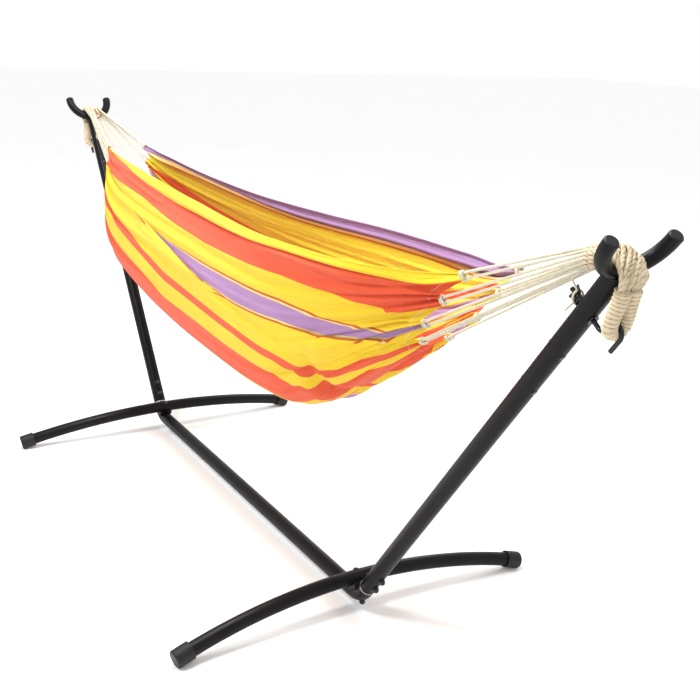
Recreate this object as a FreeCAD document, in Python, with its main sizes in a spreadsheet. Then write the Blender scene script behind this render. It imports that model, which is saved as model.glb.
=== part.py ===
import FreeCAD, Part
import math
import os

import Sketcher
from FreeCAD import Placement, Rotation, Vector

# A gathered-end cloth hammock hung on a bolted steel tube stand.
# Millimetres. +X runs along the stand, +Y across it, +Z is up, and the floor is z = 0.

doc = FreeCAD.newDocument("hammock_on_stand")
sheet = doc.addObject("Spreadsheet::Sheet", "sizes")

DIMENSIONS = (
    ("tube_radius", 21), ("tube_bore", 19.2), ("sleeve_radius", 19.1), ("sleeve_bore", 17.4),
    ("beam_height", 42), ("corner_reach", 709), ("arm_lean", 36), ("bend_radius", 72),
    ("stub_length", 50), ("spigot_length", 50), ("arm_spigot_length", 100),
    ("seam_ring_radius", 22), ("seam_ring_width", 3),
    ("arm_seam", 1000), ("arm_reach", 1272), ("arm_sleeve_length", 160), ("arm_sleeve_start", 920),
    ("leg_radius", 19), ("leg_bore", 17.4), ("leg_half_span", 512), ("leg_arch_radius", 1836),
    ("saddle_gap", 1.6), ("saddle_width", 34), ("saddle_length", 44), ("saddle_depth", 18),
    ("cap_radius", 23.5), ("cap_length", 46), ("cap_bore_depth", 38), ("cap_edge", 5),
    ("cradle_radius", 14.5), ("cradle_bore", 12.9), ("cradle_bend", 74.5), ("cradle_tip", 4.5),
    ("plug_radius", 12.7), ("plug_depth", 8), ("plug_rim_radius", 14.5), ("plug_rim", 3),
    ("rod_radius", 4.75), ("rod_hole", 5.1), ("hook_station", 1165), ("hook_thread", 54),
    ("hook_shank", 40), ("hook_bend", 12), ("hook_rise", 11), ("hook_crown", 17), ("hook_drop", 30),
    ("bolt_radius", 4), ("bolt_hole", 4.4), ("bolt_head_radius", 7.5), ("bolt_head", 4.2),
    ("washer_radius", 9), ("washer_thickness", 1.5), ("nut_corner_radius", 7.4), ("nut_thickness", 6.5),
    ("bolt_tail", 2.5), ("binding_radius", 3.2), ("binding_head_radius", 7), ("binding_head", 1.6),
    ("binding_barrel", 22), ("beam_bolt_inset", 20), ("base_bolt_first", 82), ("base_bolt_second", 126),
    ("joint_bolt_first", 945), ("joint_bolt_second", 1056),
    ("hook_nut_corner_radius", 9.4), ("hook_nut_thickness", 8), ("hook_washer_radius", 11),
    ("wing_hub_radius", 8), ("wing_hub", 9), ("wing_span", 17), ("wing_height", 13), ("wing_thickness", 3),
    ("loop_radius", 12), ("loop_half_gap", 17.5), ("loop_over", 33), ("neck_length", 40), ("neck_slope", 25),
    ("cord_radius", 3), ("neck_face", 1396), ("swing_height", 1084), ("neck_half_width", 24),
    ("neck_half_height", 22), ("bight_half_width", 6.5), ("bight_reach", 23),
    ("cloth_thickness", 4),
)
for row, (alias, value) in enumerate(DIMENSIONS, start=1):
    sheet.set(f"A{row}", alias)
    sheet.set(f"B{row}", str(value))
    sheet.setAlias(f"B{row}", alias)
doc.recompute()
size = dict(DIMENSIONS)
parts = []

LEAN = math.radians(size["arm_lean"])
ALONG = Vector(math.sin(LEAN), 0, math.cos(LEAN))       # up the right arm
OUTWARD = Vector(math.cos(LEAN), 0, -math.sin(LEAN))    # square to the arm, away from the hammock
CORNER = Vector(size["corner_reach"], 0, size["beam_height"])
HALF_TURN = math.radians(90 - size["arm_lean"]) / 2
INWARD = Vector(-math.sin(HALF_TURN), 0, math.cos(HALF_TURN))    # from the corner towards the bend's centre
TANGENT = size["bend_radius"] * math.tan(HALF_TURN)
BEND_MIDDLE = CORNER + INWARD * (size["bend_radius"] * (1 / math.cos(HALF_TURN) - 1))
LEG_OFFSET = size["tube_radius"] + size["leg_radius"] + size["saddle_gap"]
LEG_TOP = BEND_MIDDLE + INWARD * LEG_OFFSET
CRADLE = CORNER + ALONG * size["arm_reach"]
SIDES = {"left": Rotation(Vector(0, 0, 1), 180), "right": Rotation()}


# ---------- helpers ----------

def turned(side, placement):
    """The right-hand placement, turned about Z to the asked side."""
    return Placement(Vector(), SIDES[side]).multiply(placement)


def arm_place(distance):
    """Local Z up the right arm, local X outward, origin a distance up the arm's axis."""
    return Placement(CORNER + ALONG * distance, Rotation(Vector(0, 1, 0), size["arm_lean"]))


def arm_point(along, out, across=0.0):
    """A point beside the right arm: a distance up its axis, out from it, and across the stand."""
    return CORNER + ALONG * along + OUTWARD * out + Vector(0, across, 0)


def plane_of(body, role):
    return next(feature for feature in body.Origin.OriginFeatures if feature.Role == role)


def body_of(label):
    body = doc.addObject("PartDesign::Body", label)
    body.Label = label
    return body


def sketch_on(body, name, role):
    sketch = body.newObject("Sketcher::SketchObject", name)
    sketch.AttachmentSupport = [(plane_of(body, role), "")]
    sketch.MapMode = "FlatFace"
    return sketch


def circle(sketch, cell, x=0.0, y=0.0):
    """A circle whose radius follows a cell of the sheet."""
    index = sketch.addGeometry(Part.Circle(Vector(x, y, 0), Vector(0, 0, 1), size[cell]))
    radius = sketch.addConstraint(Sketcher.Constraint("Radius", index, size[cell]))
    sketch.setExpression(f"Constraints[{radius}]", f"sizes.{cell}")


def pad(body, sketch, length):
    feature = body.newObject("PartDesign::Pad", sketch.Name + "_pad")
    feature.Profile = sketch
    feature.setExpression("Length", length)
    return feature


def cross_holes(body, role, stations):
    """Bolt holes right through a body, square to the given plane, at stations up it."""
    sketch = sketch_on(body, body.Name + "_holes", role)
    for station in stations:
        circle(sketch, "bolt_hole", 0.0, station)
    pocket = body.newObject("PartDesign::Pocket", body.Name + "_pocket")
    pocket.Profile = sketch
    pocket.Type = "ThroughAll"
    pocket.Midplane = True


def straight_tube(label, outer, inner, length, placement, holes=()):
    """A round tube on local Z; length is an expression and holes are stations along it."""
    body = body_of(label)
    ring = sketch_on(body, label + "_ring", "XY_Plane")
    circle(ring, outer)
    circle(ring, inner)
    pad(body, ring, length)
    if holes:
        cross_holes(body, "YZ_Plane", holes)
    body.Placement = placement
    return body


def rod(label, radius, height, placement):
    shape = doc.addObject("Part::Cylinder", label)
    shape.setExpression("Radius", radius)
    shape.setExpression("Height", height)
    shape.Placement = placement
    return shape


def joined(kind, label, pieces):
    """A Part::MultiFuse, Part::Compound or the like over the given pieces."""
    result = doc.addObject(kind, label)
    result.Label = label
    if kind == "Part::Compound":
        result.Links = pieces
    else:
        result.Shapes = pieces
    return result


def cut(label, base, tool):
    result = doc.addObject("Part::Cut", label)
    result.Label = label
    result.Base = base
    result.Tool = tool
    return result


def made(label, shape):
    """A Part::Feature for a swept or lofted shape."""
    feature = doc.addObject("Part::Feature", label)
    feature.Label = label
    feature.Shape = shape
    feature.Placement = Placement()
    return feature


def at(vector, along):
    """A placement at a point, its local Z along a direction."""
    return Placement(vector, Rotation(Vector(0, 0, 1), along))


def hex_nut(label, corner, bore, thickness, placement):
    prism = doc.addObject("Part::Prism", label + "_prism")
    prism.Polygon = 6
    prism.setExpression("Circumradius", corner)
    prism.setExpression("Height", thickness)
    prism.Placement = placement
    return cut(label, prism, rod(label + "_bore", bore, thickness, placement))


def bolt_set(label, middle, direction, grip):
    """A dome-headed bolt with a washer and a nut; grip is the half-width that it clamps."""
    head_seat = grip + 0.1
    start = middle - direction * head_seat
    nut_seat = middle + direction * (head_seat + size["washer_thickness"])
    shank_length = 2 * head_seat + size["washer_thickness"] + size["nut_thickness"] + size["bolt_tail"]
    shank = rod(label + "_shank", "sizes.bolt_radius", f"{shank_length} mm", at(start, direction))
    dome = doc.addObject("Part::Cone", label + "_dome")
    dome.setExpression("Radius1", "sizes.bolt_head_radius")
    dome.setExpression("Radius2", "sizes.bolt_head_radius * 0.55")
    dome.setExpression("Height", "sizes.bolt_head")
    dome.Placement = at(start, -direction)
    bolt = joined("Part::MultiFuse", label + "_bolt", [shank, dome])
    disc_place = at(middle + direction * head_seat, direction)
    disc = rod(label + "_disc", "sizes.washer_radius", "sizes.washer_thickness", disc_place)
    eye = rod(label + "_eye", "sizes.bolt_radius + 0.1", "sizes.washer_thickness", disc_place)
    washer = cut(label + "_washer", disc, eye)
    nut = hex_nut(label + "_nut", "sizes.nut_corner_radius", "sizes.bolt_radius + 0.05",
                  "sizes.nut_thickness", at(nut_seat, direction))
    return [bolt, washer, nut]


def binding_screw(label, middle, direction, grip):
    """A low-headed screw and the barrel it goes into, whose two heads lie almost flush with the tube."""
    head_seat = grip + 0.1
    start = middle - direction * head_seat
    barrel_start = middle + direction * (head_seat - size["binding_barrel"])
    heads = []
    for name, seat, way in (("_head", start, -direction), ("_cap", middle + direction * head_seat, direction)):
        head = doc.addObject("Part::Cone", label + name)
        head.setExpression("Radius1", "sizes.binding_head_radius")
        head.setExpression("Radius2", "sizes.binding_head_radius * 0.6")
        head.setExpression("Height", "sizes.binding_head")
        head.Placement = at(seat, way)
        heads.append(head)
    shank = rod(label + "_shank", "sizes.binding_radius", f"{2 * head_seat - 2} mm", at(start, direction))
    screw = joined("Part::MultiFuse", label + "_screw", [shank, heads[0]])
    post = rod(label + "_post", "sizes.bolt_radius", "sizes.binding_barrel", at(barrel_start, direction))
    blank = joined("Part::MultiFuse", label + "_blank", [post, heads[1]])
    bore = rod(label + "_bore", "sizes.binding_radius + 0.05", "sizes.binding_barrel - 0.5",
               at(barrel_start, direction))
    return [screw, cut(label + "_barrel", blank, bore)]


def piped(wire, radius):
    """A solid round bar along a wire of tangent lines and arcs."""
    start = wire.OrderedEdges[0]
    direction = start.tangentAt(start.FirstParameter)
    profile = Part.Wire(Part.Circle(start.valueAt(start.FirstParameter), direction, radius).toShape())
    return wire.makePipeShell([profile], True, True)


def rounded_path(points, share=0.45):
    """Straight runs joined by tangent arcs, each radius a share of its shorter run over the half turn's tangent."""
    edges = []
    radii = []
    last = points[0]
    for before, corner, after in zip(points, points[1:], points[2:]):
        back = (before - corner).normalize()
        ahead = (after - corner).normalize()
        shorter = min((before - corner).Length, (after - corner).Length)
        half_inside = back.getAngle(ahead) / 2
        trim = share * shorter
        radius = trim * math.tan(half_inside)
        centre = corner + (back + ahead).normalize() * (radius / math.sin(half_inside))
        enter = corner + back * trim
        leave = corner + ahead * trim
        summit = centre + (corner - centre).normalize() * radius
        edges += [Part.LineSegment(last, enter).toShape(), Part.Arc(enter, summit, leave).toShape()]
        radii.append(radius)
        last = leave
    edges.append(Part.LineSegment(last, points[-1]).toShape())
    return Part.Wire(edges), radii


# ---------- base: beam, elbows, legs ----------

def make_base_beam():
    seam = size["corner_reach"] - TANGENT
    length = "2 * (sizes.corner_reach - sizes.bend_radius * tan(45 - sizes.arm_lean / 2))"
    stations = (size["beam_bolt_inset"], 2 * seam - size["beam_bolt_inset"])
    place = Placement(Vector(-seam, 0, size["beam_height"]), Rotation(Vector(0, 1, 0), 90))
    parts.append(straight_tube("base_beam", "tube_radius", "tube_bore", length, place, stations))


def bend_solid(radius, bend_radius, half_turn, middle):
    """A round bar bent through two half turns in the XZ plane, its middle at the given point."""
    centre = middle + INWARD * bend_radius
    ends = [centre + Rotation(Vector(0, 1, 0), sign * math.degrees(half_turn)).multVec(INWARD) * -bend_radius
            for sign in (1, -1)]
    return piped(Part.Wire([Part.Arc(ends[0], middle, ends[1]).toShape()]), radius)


def make_elbow(side):
    """The bent tube that joins beam to arm, with a reduced spigot for each of them."""
    label = "elbow_" + side
    shell = bend_solid(size["tube_radius"], size["bend_radius"], HALF_TURN, BEND_MIDDLE)
    core = bend_solid(size["sleeve_bore"], size["bend_radius"], HALF_TURN, BEND_MIDDLE)
    beam_end = CORNER - Vector(TANGENT, 0, 0)
    arm_start = CORNER + ALONG * TANGENT
    stub = Part.makeCylinder(size["tube_radius"], size["stub_length"] - TANGENT, arm_start, ALONG)
    arm_spigot = Part.makeCylinder(size["sleeve_radius"], size["stub_length"] - TANGENT + size["arm_spigot_length"],
                                   arm_start, ALONG)
    beam_spigot = Part.makeCylinder(size["sleeve_radius"], size["spigot_length"], beam_end, Vector(-1, 0, 0))
    bores = [core,
             Part.makeCylinder(size["sleeve_bore"], arm_spigot.BoundBox.DiagonalLength, arm_start, ALONG),
             Part.makeCylinder(size["sleeve_bore"], size["spigot_length"], beam_end, Vector(-1, 0, 0))]
    hole = size["bolt_hole"]
    reach = 2 * size["tube_radius"] + 10
    bolt_x = beam_end - Vector(size["beam_bolt_inset"], 0, 0)
    bores.append(Part.makeCylinder(hole, reach, bolt_x - Vector(0, 0, reach / 2), Vector(0, 0, 1)))
    bores.append(Part.makeCylinder(hole, reach, BEND_MIDDLE - INWARD * (reach / 2), INWARD))
    for cell in ("base_bolt_first", "base_bolt_second"):
        middle = CORNER + ALONG * size[cell]
        bores.append(Part.makeCylinder(hole, reach, middle - OUTWARD * (reach / 2), OUTWARD))
    solid = shell.fuse([stub, arm_spigot, beam_spigot]).removeSplitter().cut(bores)
    feature = made(label, solid)
    feature.Placement = turned(side, Placement())
    parts.append(feature)


def make_seam_ring(side):
    """The bright collar that shows between the elbow and the arm."""
    place = turned(side, arm_place(size["stub_length"]))
    parts.append(straight_tube("seam_ring_" + side, "seam_ring_radius", "tube_bore", "sizes.seam_ring_width", place))


def make_leg(side):
    """One arched floor tube, drilled for the bolt that holds it in the elbow's inner corner."""
    body = body_of("leg_" + side)
    ring = sketch_on(body, body.Name + "_ring", "XZ_Plane")
    arch = -size["leg_arch_radius"]
    circle(ring, "leg_radius")
    circle(ring, "leg_bore")
    ring.addGeometry(Part.LineSegment(Vector(-100, arch, 0), Vector(100, arch, 0)), True)
    sweep = body.newObject("PartDesign::Revolution", body.Name + "_arch")
    sweep.Profile = ring
    sweep.ReferenceAxis = (ring, ["Axis0"])
    sweep.Midplane = True
    sweep.setExpression("Angle", "2 * asin(sizes.leg_half_span / sizes.leg_arch_radius)")
    cross_holes(body, "XY_Plane", [0.0])
    tilt = Rotation(Vector(0, 1, 0), -math.degrees(HALF_TURN))
    body.Placement = turned(side, Placement(LEG_TOP, tilt))
    parts.append(body)


def make_foot_caps(side):
    """Two moulded end caps per leg, each with a flat cut level with the floor."""
    arch = size["leg_arch_radius"]
    tilt = Rotation(Vector(0, 1, 0), -math.degrees(HALF_TURN))
    end_angle = math.asin(size["leg_half_span"] / arch)
    for hand, sign in (("front", -1), ("rear", 1)):
        label = f"foot_cap_{side}_{hand}"
        local_end = Vector(0, sign * arch * math.sin(end_angle), arch * (math.cos(end_angle) - 1))
        local_out = Vector(0, sign * math.cos(end_angle), -math.sin(end_angle))
        outward = tilt.multVec(local_out)
        mouth = LEG_TOP + tilt.multVec(local_end) - outward * size["cap_bore_depth"]
        shell = rod(label + "_shell", "sizes.cap_radius", "sizes.cap_length", at(mouth, outward))
        rounded = doc.addObject("Part::Fillet", label + "_rounded")
        rounded.Base = shell
        doc.recompute()
        far_edges = [number for number, edge in enumerate(shell.Shape.Edges, start=1)
                     if edge.Closed and abs((edge.BoundBox.Center - mouth).Length - size["cap_length"]) < 1]
        rounded.Edges = [(number, size["cap_edge"], size["cap_edge"]) for number in far_edges]
        bore = rod(label + "_bore", "sizes.leg_radius + 0.45", "sizes.cap_bore_depth + 0.2", at(mouth, outward))
        floor = doc.addObject("Part::Box", label + "_floor")
        floor.setExpression("Length", "sizes.cap_length * 3")
        floor.setExpression("Width", "sizes.cap_length * 3")
        floor.setExpression("Height", "sizes.cap_radius")
        floor.Placement = Placement(mouth - Vector(69, 69, mouth.z + size["cap_radius"]), Rotation())
        hollow = cut(label + "_hollow", rounded, bore)
        cap = cut(label, hollow, floor)
        turned_cap = turned(side, Placement())
        cap.Placement = turned_cap
        parts.append(cap)


def make_saddle(side):
    """The moulded block that seats the round leg on the round elbow."""
    label = "leg_saddle_" + side
    middle = BEND_MIDDLE + INWARD * (size["tube_radius"] + size["saddle_gap"] / 2)
    tilt = Rotation(Vector(0, 1, 0), -math.degrees(HALF_TURN))
    block = Part.makeBox(size["saddle_width"], size["saddle_length"], size["saddle_depth"])
    block.Placement = Placement(middle, tilt).multiply(Placement(
        Vector(-size["saddle_width"] / 2, -size["saddle_length"] / 2, -size["saddle_depth"] / 2), Rotation()))
    seat = bend_solid(size["tube_radius"] + 0.15, size["bend_radius"], HALF_TURN * 1.2, BEND_MIDDLE)
    leg_bed = Part.makeCylinder(size["leg_radius"] + 0.6, 80, LEG_TOP - Vector(0, 40, 0), Vector(0, 1, 0))
    bolt_way = Part.makeCylinder(size["bolt_hole"], 80, BEND_MIDDLE, INWARD)
    feature = made(label, block.cut([seat, leg_bed, bolt_way]))
    feature.Placement = turned(side, Placement())
    parts.append(feature)


# ---------- arms, cradles and hooks ----------

def make_lower_arm(side):
    start = size["stub_length"] + size["seam_ring_width"]
    stations = [size[cell] - start for cell in ("base_bolt_first", "base_bolt_second", "joint_bolt_first")]
    parts.append(straight_tube("lower_arm_" + side, "tube_radius", "tube_bore",
                               "sizes.arm_seam - sizes.stub_length - sizes.seam_ring_width",
                               turned(side, arm_place(start)), stations))


def make_arm_sleeve(side):
    """The inner sleeve that joins the two arm tubes."""
    start = size["arm_sleeve_start"]
    stations = [size[cell] - start for cell in ("joint_bolt_first", "joint_bolt_second")]
    parts.append(straight_tube("arm_sleeve_" + side, "sleeve_radius", "sleeve_bore", "sizes.arm_sleeve_length",
                               turned(side, arm_place(start)), stations))


def make_upper_arm(side):
    """The upper tube, coped at its top to sit round the cradle tube."""
    start = size["arm_seam"]
    tube = straight_tube(f"upper_arm_{side}_tube", "tube_radius", "tube_bore",
                         "sizes.arm_reach - sizes.arm_seam - 8", arm_place(start),
                         [size["joint_bolt_second"] - start])
    way = rod(f"upper_arm_{side}_way", "sizes.rod_hole", "sizes.tube_radius * 3",
              at(CORNER + ALONG * size["hook_station"] - OUTWARD * (size["tube_radius"] * 1.5), OUTWARD))
    drilled = cut(f"upper_arm_{side}_drilled", tube, way)
    cope = doc.addObject("Part::Torus", f"upper_arm_{side}_cope")
    cope.setExpression("Radius1", "sizes.cradle_bend")
    cope.setExpression("Radius2", "sizes.cradle_radius + 0.05")
    cope.Placement = at(CRADLE + ALONG * size["cradle_bend"], OUTWARD)
    arm = cut("upper_arm_" + side, drilled, cope)
    arm.Placement = turned(side, Placement())
    parts.append(arm)


def make_cradle(side):
    """The half-round tube that carries the rope, welded across the arm's top."""
    body = body_of("cradle_" + side)
    ring = sketch_on(body, body.Name + "_ring", "YZ_Plane")
    circle(ring, "cradle_radius", size["cradle_bend"], 0)
    circle(ring, "cradle_bore", size["cradle_bend"], 0)
    bow = body.newObject("PartDesign::Revolution", body.Name + "_bow")
    bow.Profile = ring
    bow.ReferenceAxis = (plane_of(body, "Z_Axis"), [""])
    bow.setExpression("Angle", "180")
    for hand, sign in (("front", -1), ("rear", 1)):
        tip = sketch_on(body, f"{body.Name}_{hand}", "YZ_Plane")
        circle(tip, "cradle_radius", sign * size["cradle_bend"], 0)
        circle(tip, "cradle_bore", sign * size["cradle_bend"], 0)
        tip_pad = pad(body, tip, "sizes.cradle_tip")
        tip_pad.Reversed = False
    # Local Z is square to the cradle's plane and local X points up the arm.
    frame = Rotation(ALONG, Vector(0, 1, 0), OUTWARD, "XYZ")
    centre = CRADLE + ALONG * size["cradle_bend"]
    body.Placement = turned(side, Placement(centre, frame))
    parts.append(body)


def make_cradle_plugs(side):
    """A push-in plug in each end of the cradle tube."""
    pieces = []
    tip = CRADLE + ALONG * (size["cradle_bend"] + size["cradle_tip"])
    for hand, sign in (("front", -1), ("rear", 1)):
        name = f"cradle_plug_{side}_{hand}"
        mouth = tip + Vector(0, sign * size["cradle_bend"], 0)
        barrel = rod(name + "_barrel", "sizes.plug_radius", "sizes.plug_depth", at(mouth, -ALONG))
        rim = doc.addObject("Part::Cone", name + "_rim")
        rim.setExpression("Radius1", "sizes.plug_rim_radius")
        rim.setExpression("Radius2", "sizes.plug_rim_radius - sizes.plug_rim * 0.8")
        rim.setExpression("Height", "sizes.plug_rim")
        rim.Placement = at(mouth + ALONG * 0.05, ALONG)
        pieces.append(joined("Part::MultiFuse", name, [barrel, rim]))
    group = joined("Part::Compound", "cradle_plugs_" + side, pieces)
    group.Placement = turned(side, Placement())
    parts.append(group)


def make_hook(side):
    """A threaded rod through the arm that rises outside it into a crown and drops to a blunt tip."""
    level = size["hook_station"]
    bend, rise, crown = size["hook_bend"], size["hook_rise"], size["hook_crown"]
    shank_end = size["hook_shank"]
    riser = shank_end + bend
    crown_level = level + bend + rise
    half = math.sqrt(0.5)
    edges = [
        Part.LineSegment(arm_point(level, -size["hook_thread"]), arm_point(level, shank_end)).toShape(),
        Part.Arc(arm_point(level, shank_end), arm_point(level + bend * (1 - half), shank_end + bend * half),
                 arm_point(level + bend, riser)).toShape(),
        Part.LineSegment(arm_point(level + bend, riser), arm_point(crown_level, riser)).toShape(),
        Part.Arc(arm_point(crown_level, riser), arm_point(crown_level + crown, riser + crown),
                 arm_point(crown_level, riser + 2 * crown)).toShape(),
        Part.LineSegment(arm_point(crown_level, riser + 2 * crown),
                         arm_point(crown_level - size["hook_drop"], riser + 2 * crown)).toShape(),
    ]
    bar = piped(Part.Wire(edges), size["rod_radius"])
    feature = made("rope_hook_" + side, bar)
    feature.Placement = turned(side, Placement())
    parts.append(feature)


def make_hook_nuts(side):
    """A washer and hex nut on the hook's thread inside the arm, and a washer outside it."""
    name = "hook_nuts_" + side
    seat = size["tube_radius"] + 0.1
    pieces = []
    for hand, sign in (("inner", -1), ("outer", 1)):
        place = at(arm_point(size["hook_station"], sign * seat), OUTWARD * sign)
        disc = rod(f"{name}_{hand}_disc", "sizes.hook_washer_radius", "sizes.washer_thickness", place)
        eye = rod(f"{name}_{hand}_eye", "sizes.rod_hole", "sizes.washer_thickness", place)
        pieces.append(cut(f"{name}_{hand}_washer", disc, eye))
    nut_place = at(arm_point(size["hook_station"], -seat - size["washer_thickness"]), OUTWARD * -1)
    pieces.append(hex_nut(name + "_nut", "sizes.hook_nut_corner_radius", "sizes.rod_radius + 0.05",
                          "sizes.hook_nut_thickness", nut_place))
    group = joined("Part::Compound", name, pieces)
    group.Placement = turned(side, Placement())
    parts.append(group)


def make_wing_nut(side):
    """The wing nut that locks the hook's nut."""
    name = "wing_nut_" + side
    seat = size["tube_radius"] + 0.2 + size["washer_thickness"] + size["hook_nut_thickness"]
    place = at(arm_point(size["hook_station"], -seat), OUTWARD * -1)
    hub = rod(name + "_hub", "sizes.wing_hub_radius", "sizes.wing_hub", place)
    wings = doc.addObject("Part::Wedge", name + "_wings")
    for axis, low, high in (("X", "-1", "1"), ("Z", "-1", "1")):
        cell = "wing_span" if axis == "X" else "wing_thickness"
        scale = 0.62 if axis == "X" else 0.5
        wings.setExpression(f"{axis}min", f"{low} * sizes.{cell} * {scale}")
        wings.setExpression(f"{axis}max", f"{high} * sizes.{cell} * {scale}")
        far_scale = 1.0 if axis == "X" else 0.5
        wings.setExpression(f"{axis}2min", f"{low} * sizes.{cell} * {far_scale}")
        wings.setExpression(f"{axis}2max", f"{high} * sizes.{cell} * {far_scale}")
    wings.Ymin = 0.0
    wings.setExpression("Ymax", "sizes.wing_height + 3")
    wings.Placement = place.multiply(Placement(Vector(0, 0, 2), Rotation(Vector(1, 0, 0), 90)))
    notch_place = place.multiply(Placement(Vector(0, 0, size["wing_hub"]), Rotation()))
    notch = rod(name + "_notch", "sizes.wing_hub_radius", "sizes.wing_height", notch_place)
    blades = cut(name + "_blades", wings, notch)
    blank = joined("Part::MultiFuse", name + "_blank", [hub, blades])
    nut = cut(name, blank, rod(name + "_bore", "sizes.rod_radius + 0.05", "sizes.wing_hub + 20", place))
    nut.Placement = turned(side, Placement())
    parts.append(nut)


def make_bolts(side):
    """The stand's bolts and binding screws, each group of alike ones in one node."""
    groups = {
        "leg_bolt_": [(BEND_MIDDLE + INWARD * ((LEG_OFFSET + size["leg_radius"] - size["tube_radius"]) / 2),
                       INWARD * -1, (LEG_OFFSET + size["leg_radius"] + size["tube_radius"]) / 2)],
        "beam_end_bolt_": [(CORNER - Vector(TANGENT + size["beam_bolt_inset"], 0, 0), Vector(0, 0, -1),
                            size["tube_radius"])],
        "arm_base_bolts_": [(CORNER + ALONG * size[cell], OUTWARD, size["tube_radius"])
                            for cell in ("base_bolt_first", "base_bolt_second")],
        "arm_joint_bolts_": [(CORNER + ALONG * size[cell], OUTWARD, size["tube_radius"])
                             for cell in ("joint_bolt_first", "joint_bolt_second")],
    }
    low_headed = ("beam_end_bolt_", "arm_joint_bolts_")
    for stem, bolts in groups.items():
        fastener = binding_screw if stem in low_headed else bolt_set
        pieces = []
        for number, (middle, direction, grip) in enumerate(bolts, start=1):
            pieces += fastener(f"{stem}{side}_{number}", middle, direction, grip)
        group = joined("Part::Compound", stem + side, pieces)
        group.Placement = turned(side, Placement())
        parts.append(group)


# ---------- rope loops, cords and cloth ----------

def make_end_loop(side):
    """The whipped rope loop: in over the cradle, down outside the arm, round the hook's crown and back."""
    slope = math.radians(size["neck_slope"])
    rope_in = Vector(math.cos(slope), 0, math.sin(slope))
    over = size["loop_over"]
    touch = CRADLE + Vector(-math.sin(slope), 0, math.cos(slope)) * over
    neck = touch - rope_in * size["neck_length"]
    gap = size["loop_half_gap"]
    crown_level = size["hook_station"] + size["hook_bend"] + size["hook_rise"]
    eye = arm_point(crown_level, size["hook_shank"] + size["hook_bend"] + size["hook_crown"])
    to_eye = eye - CRADLE
    drop_angle = math.atan2(to_eye.z, to_eye.x) + math.acos(over / to_eye.Length)
    leave = CRADLE + Vector(math.cos(drop_angle), 0, math.sin(drop_angle)) * over
    down = (eye - leave).normalize()
    turn_start = eye - down * gap
    top_angle = (drop_angle + math.pi / 2 + slope) / 2
    summit = CRADLE + Vector(math.cos(top_angle), 0, math.sin(top_angle)) * over

    def strand(sign):
        across = Vector(0, sign * gap, 0)
        return [Part.LineSegment(neck + across, touch + across).toShape(),
                Part.Arc(touch + across, summit + across, leave + across).toShape(),
                Part.LineSegment(leave + across, turn_start + across).toShape()]

    across = Vector(0, gap, 0)
    turn = Part.Arc(turn_start - across, eye, turn_start + across).toShape()
    wire = Part.Wire(Part.__sortEdges__(strand(-1) + [turn] + strand(1)))
    feature = made("end_loop_" + side, piped(wire, size["loop_radius"]))
    feature.Placement = turned(side, Placement())
    parts.append(feature)


# Cloth stations from the left gather to the right one:
# top x, top z, half width at the edge, bottom x, bottom z, half width of the belly.
CLOTH_STATIONS = (
    (-1020, 995, 75, -985, 840, 80),
    (-930, 986, 80, -935, 680, 130),
    (-740, 976, 90, -800, 550, 165),
    (-420, 962, 105, -460, 492, 178),
    (-100, 954, 125, -100, 476, 185),
    (200, 954, 155, 200, 474, 192),
    (500, 960, 180, 450, 492, 195),
    (800, 970, 168, 640, 590, 165),
    (1000, 982, 120, 800, 700, 115),
    (1108, 992, 78, 925, 785, 78),
)
# Half of a cloth section, from the bottom up: share of the belly's half width, share of the depth.
CLOTH_SECTION = ((0.0, 0.0), (0.56, 0.07), (0.92, 0.28))
# Where the cords take hold of the cloth's front half, from the edge down; the rear half mirrors them.
CORD_GATHERS = {
    "left": ((-1019, -73, 990), (-1007, -76, 936), (-994, -67, 878), (-986, -26, 846)),
    "right": ((1104, -75, 986), (1048, -76, 922), (988, -71, 855), (938, -36, 799)),
}


def cloth_point(station, width_share, height_share, inset=0.0, across=None):
    """A point of a cloth section, in the station's slanted plane."""
    top_x, top_z, _, low_x, low_z, belly = station
    half = (belly - inset) * width_share if across is None else across - inset
    rise = (top_z - low_z) * height_share + inset * (1 - height_share)
    return Vector(low_x + (top_x - low_x) / (top_z - low_z) * rise, half, low_z + rise)


def half_section(station, inset):
    _, _, edge, _, _, belly = station
    points = [cloth_point(station, width, height, inset) for width, height in CLOTH_SECTION]
    points.append(cloth_point(station, 1, 0.62, inset, (edge + 2 * belly) / 3))
    points.append(cloth_point(station, 1, 1.0, inset, edge))
    return points


def whole_section(station, inset):
    half = half_section(station, inset)
    return [Vector(point.x, -point.y, point.z) for point in reversed(half[1:])] + half


def make_hammock_bed():
    """The cloth as a thin open trough of panels that meet face to face, so that its collision is as open."""
    sections = [(whole_section(station, 0.0), whole_section(station, size["cloth_thickness"]))
                for station in CLOTH_STATIONS]
    panels = []
    for stations in zip(sections, sections[1:]):
        for low in range(len(stations[0][0]) - 1):
            wires = [Part.makePolygon([outer[low], outer[low + 1], inner[low + 1], inner[low], outer[low]])
                     for outer, inner in stations]
            panels.append(Part.makeLoft(wires, True, True))
    parts.append(made("hammock_bed", Part.makeCompound(panels)))


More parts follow.
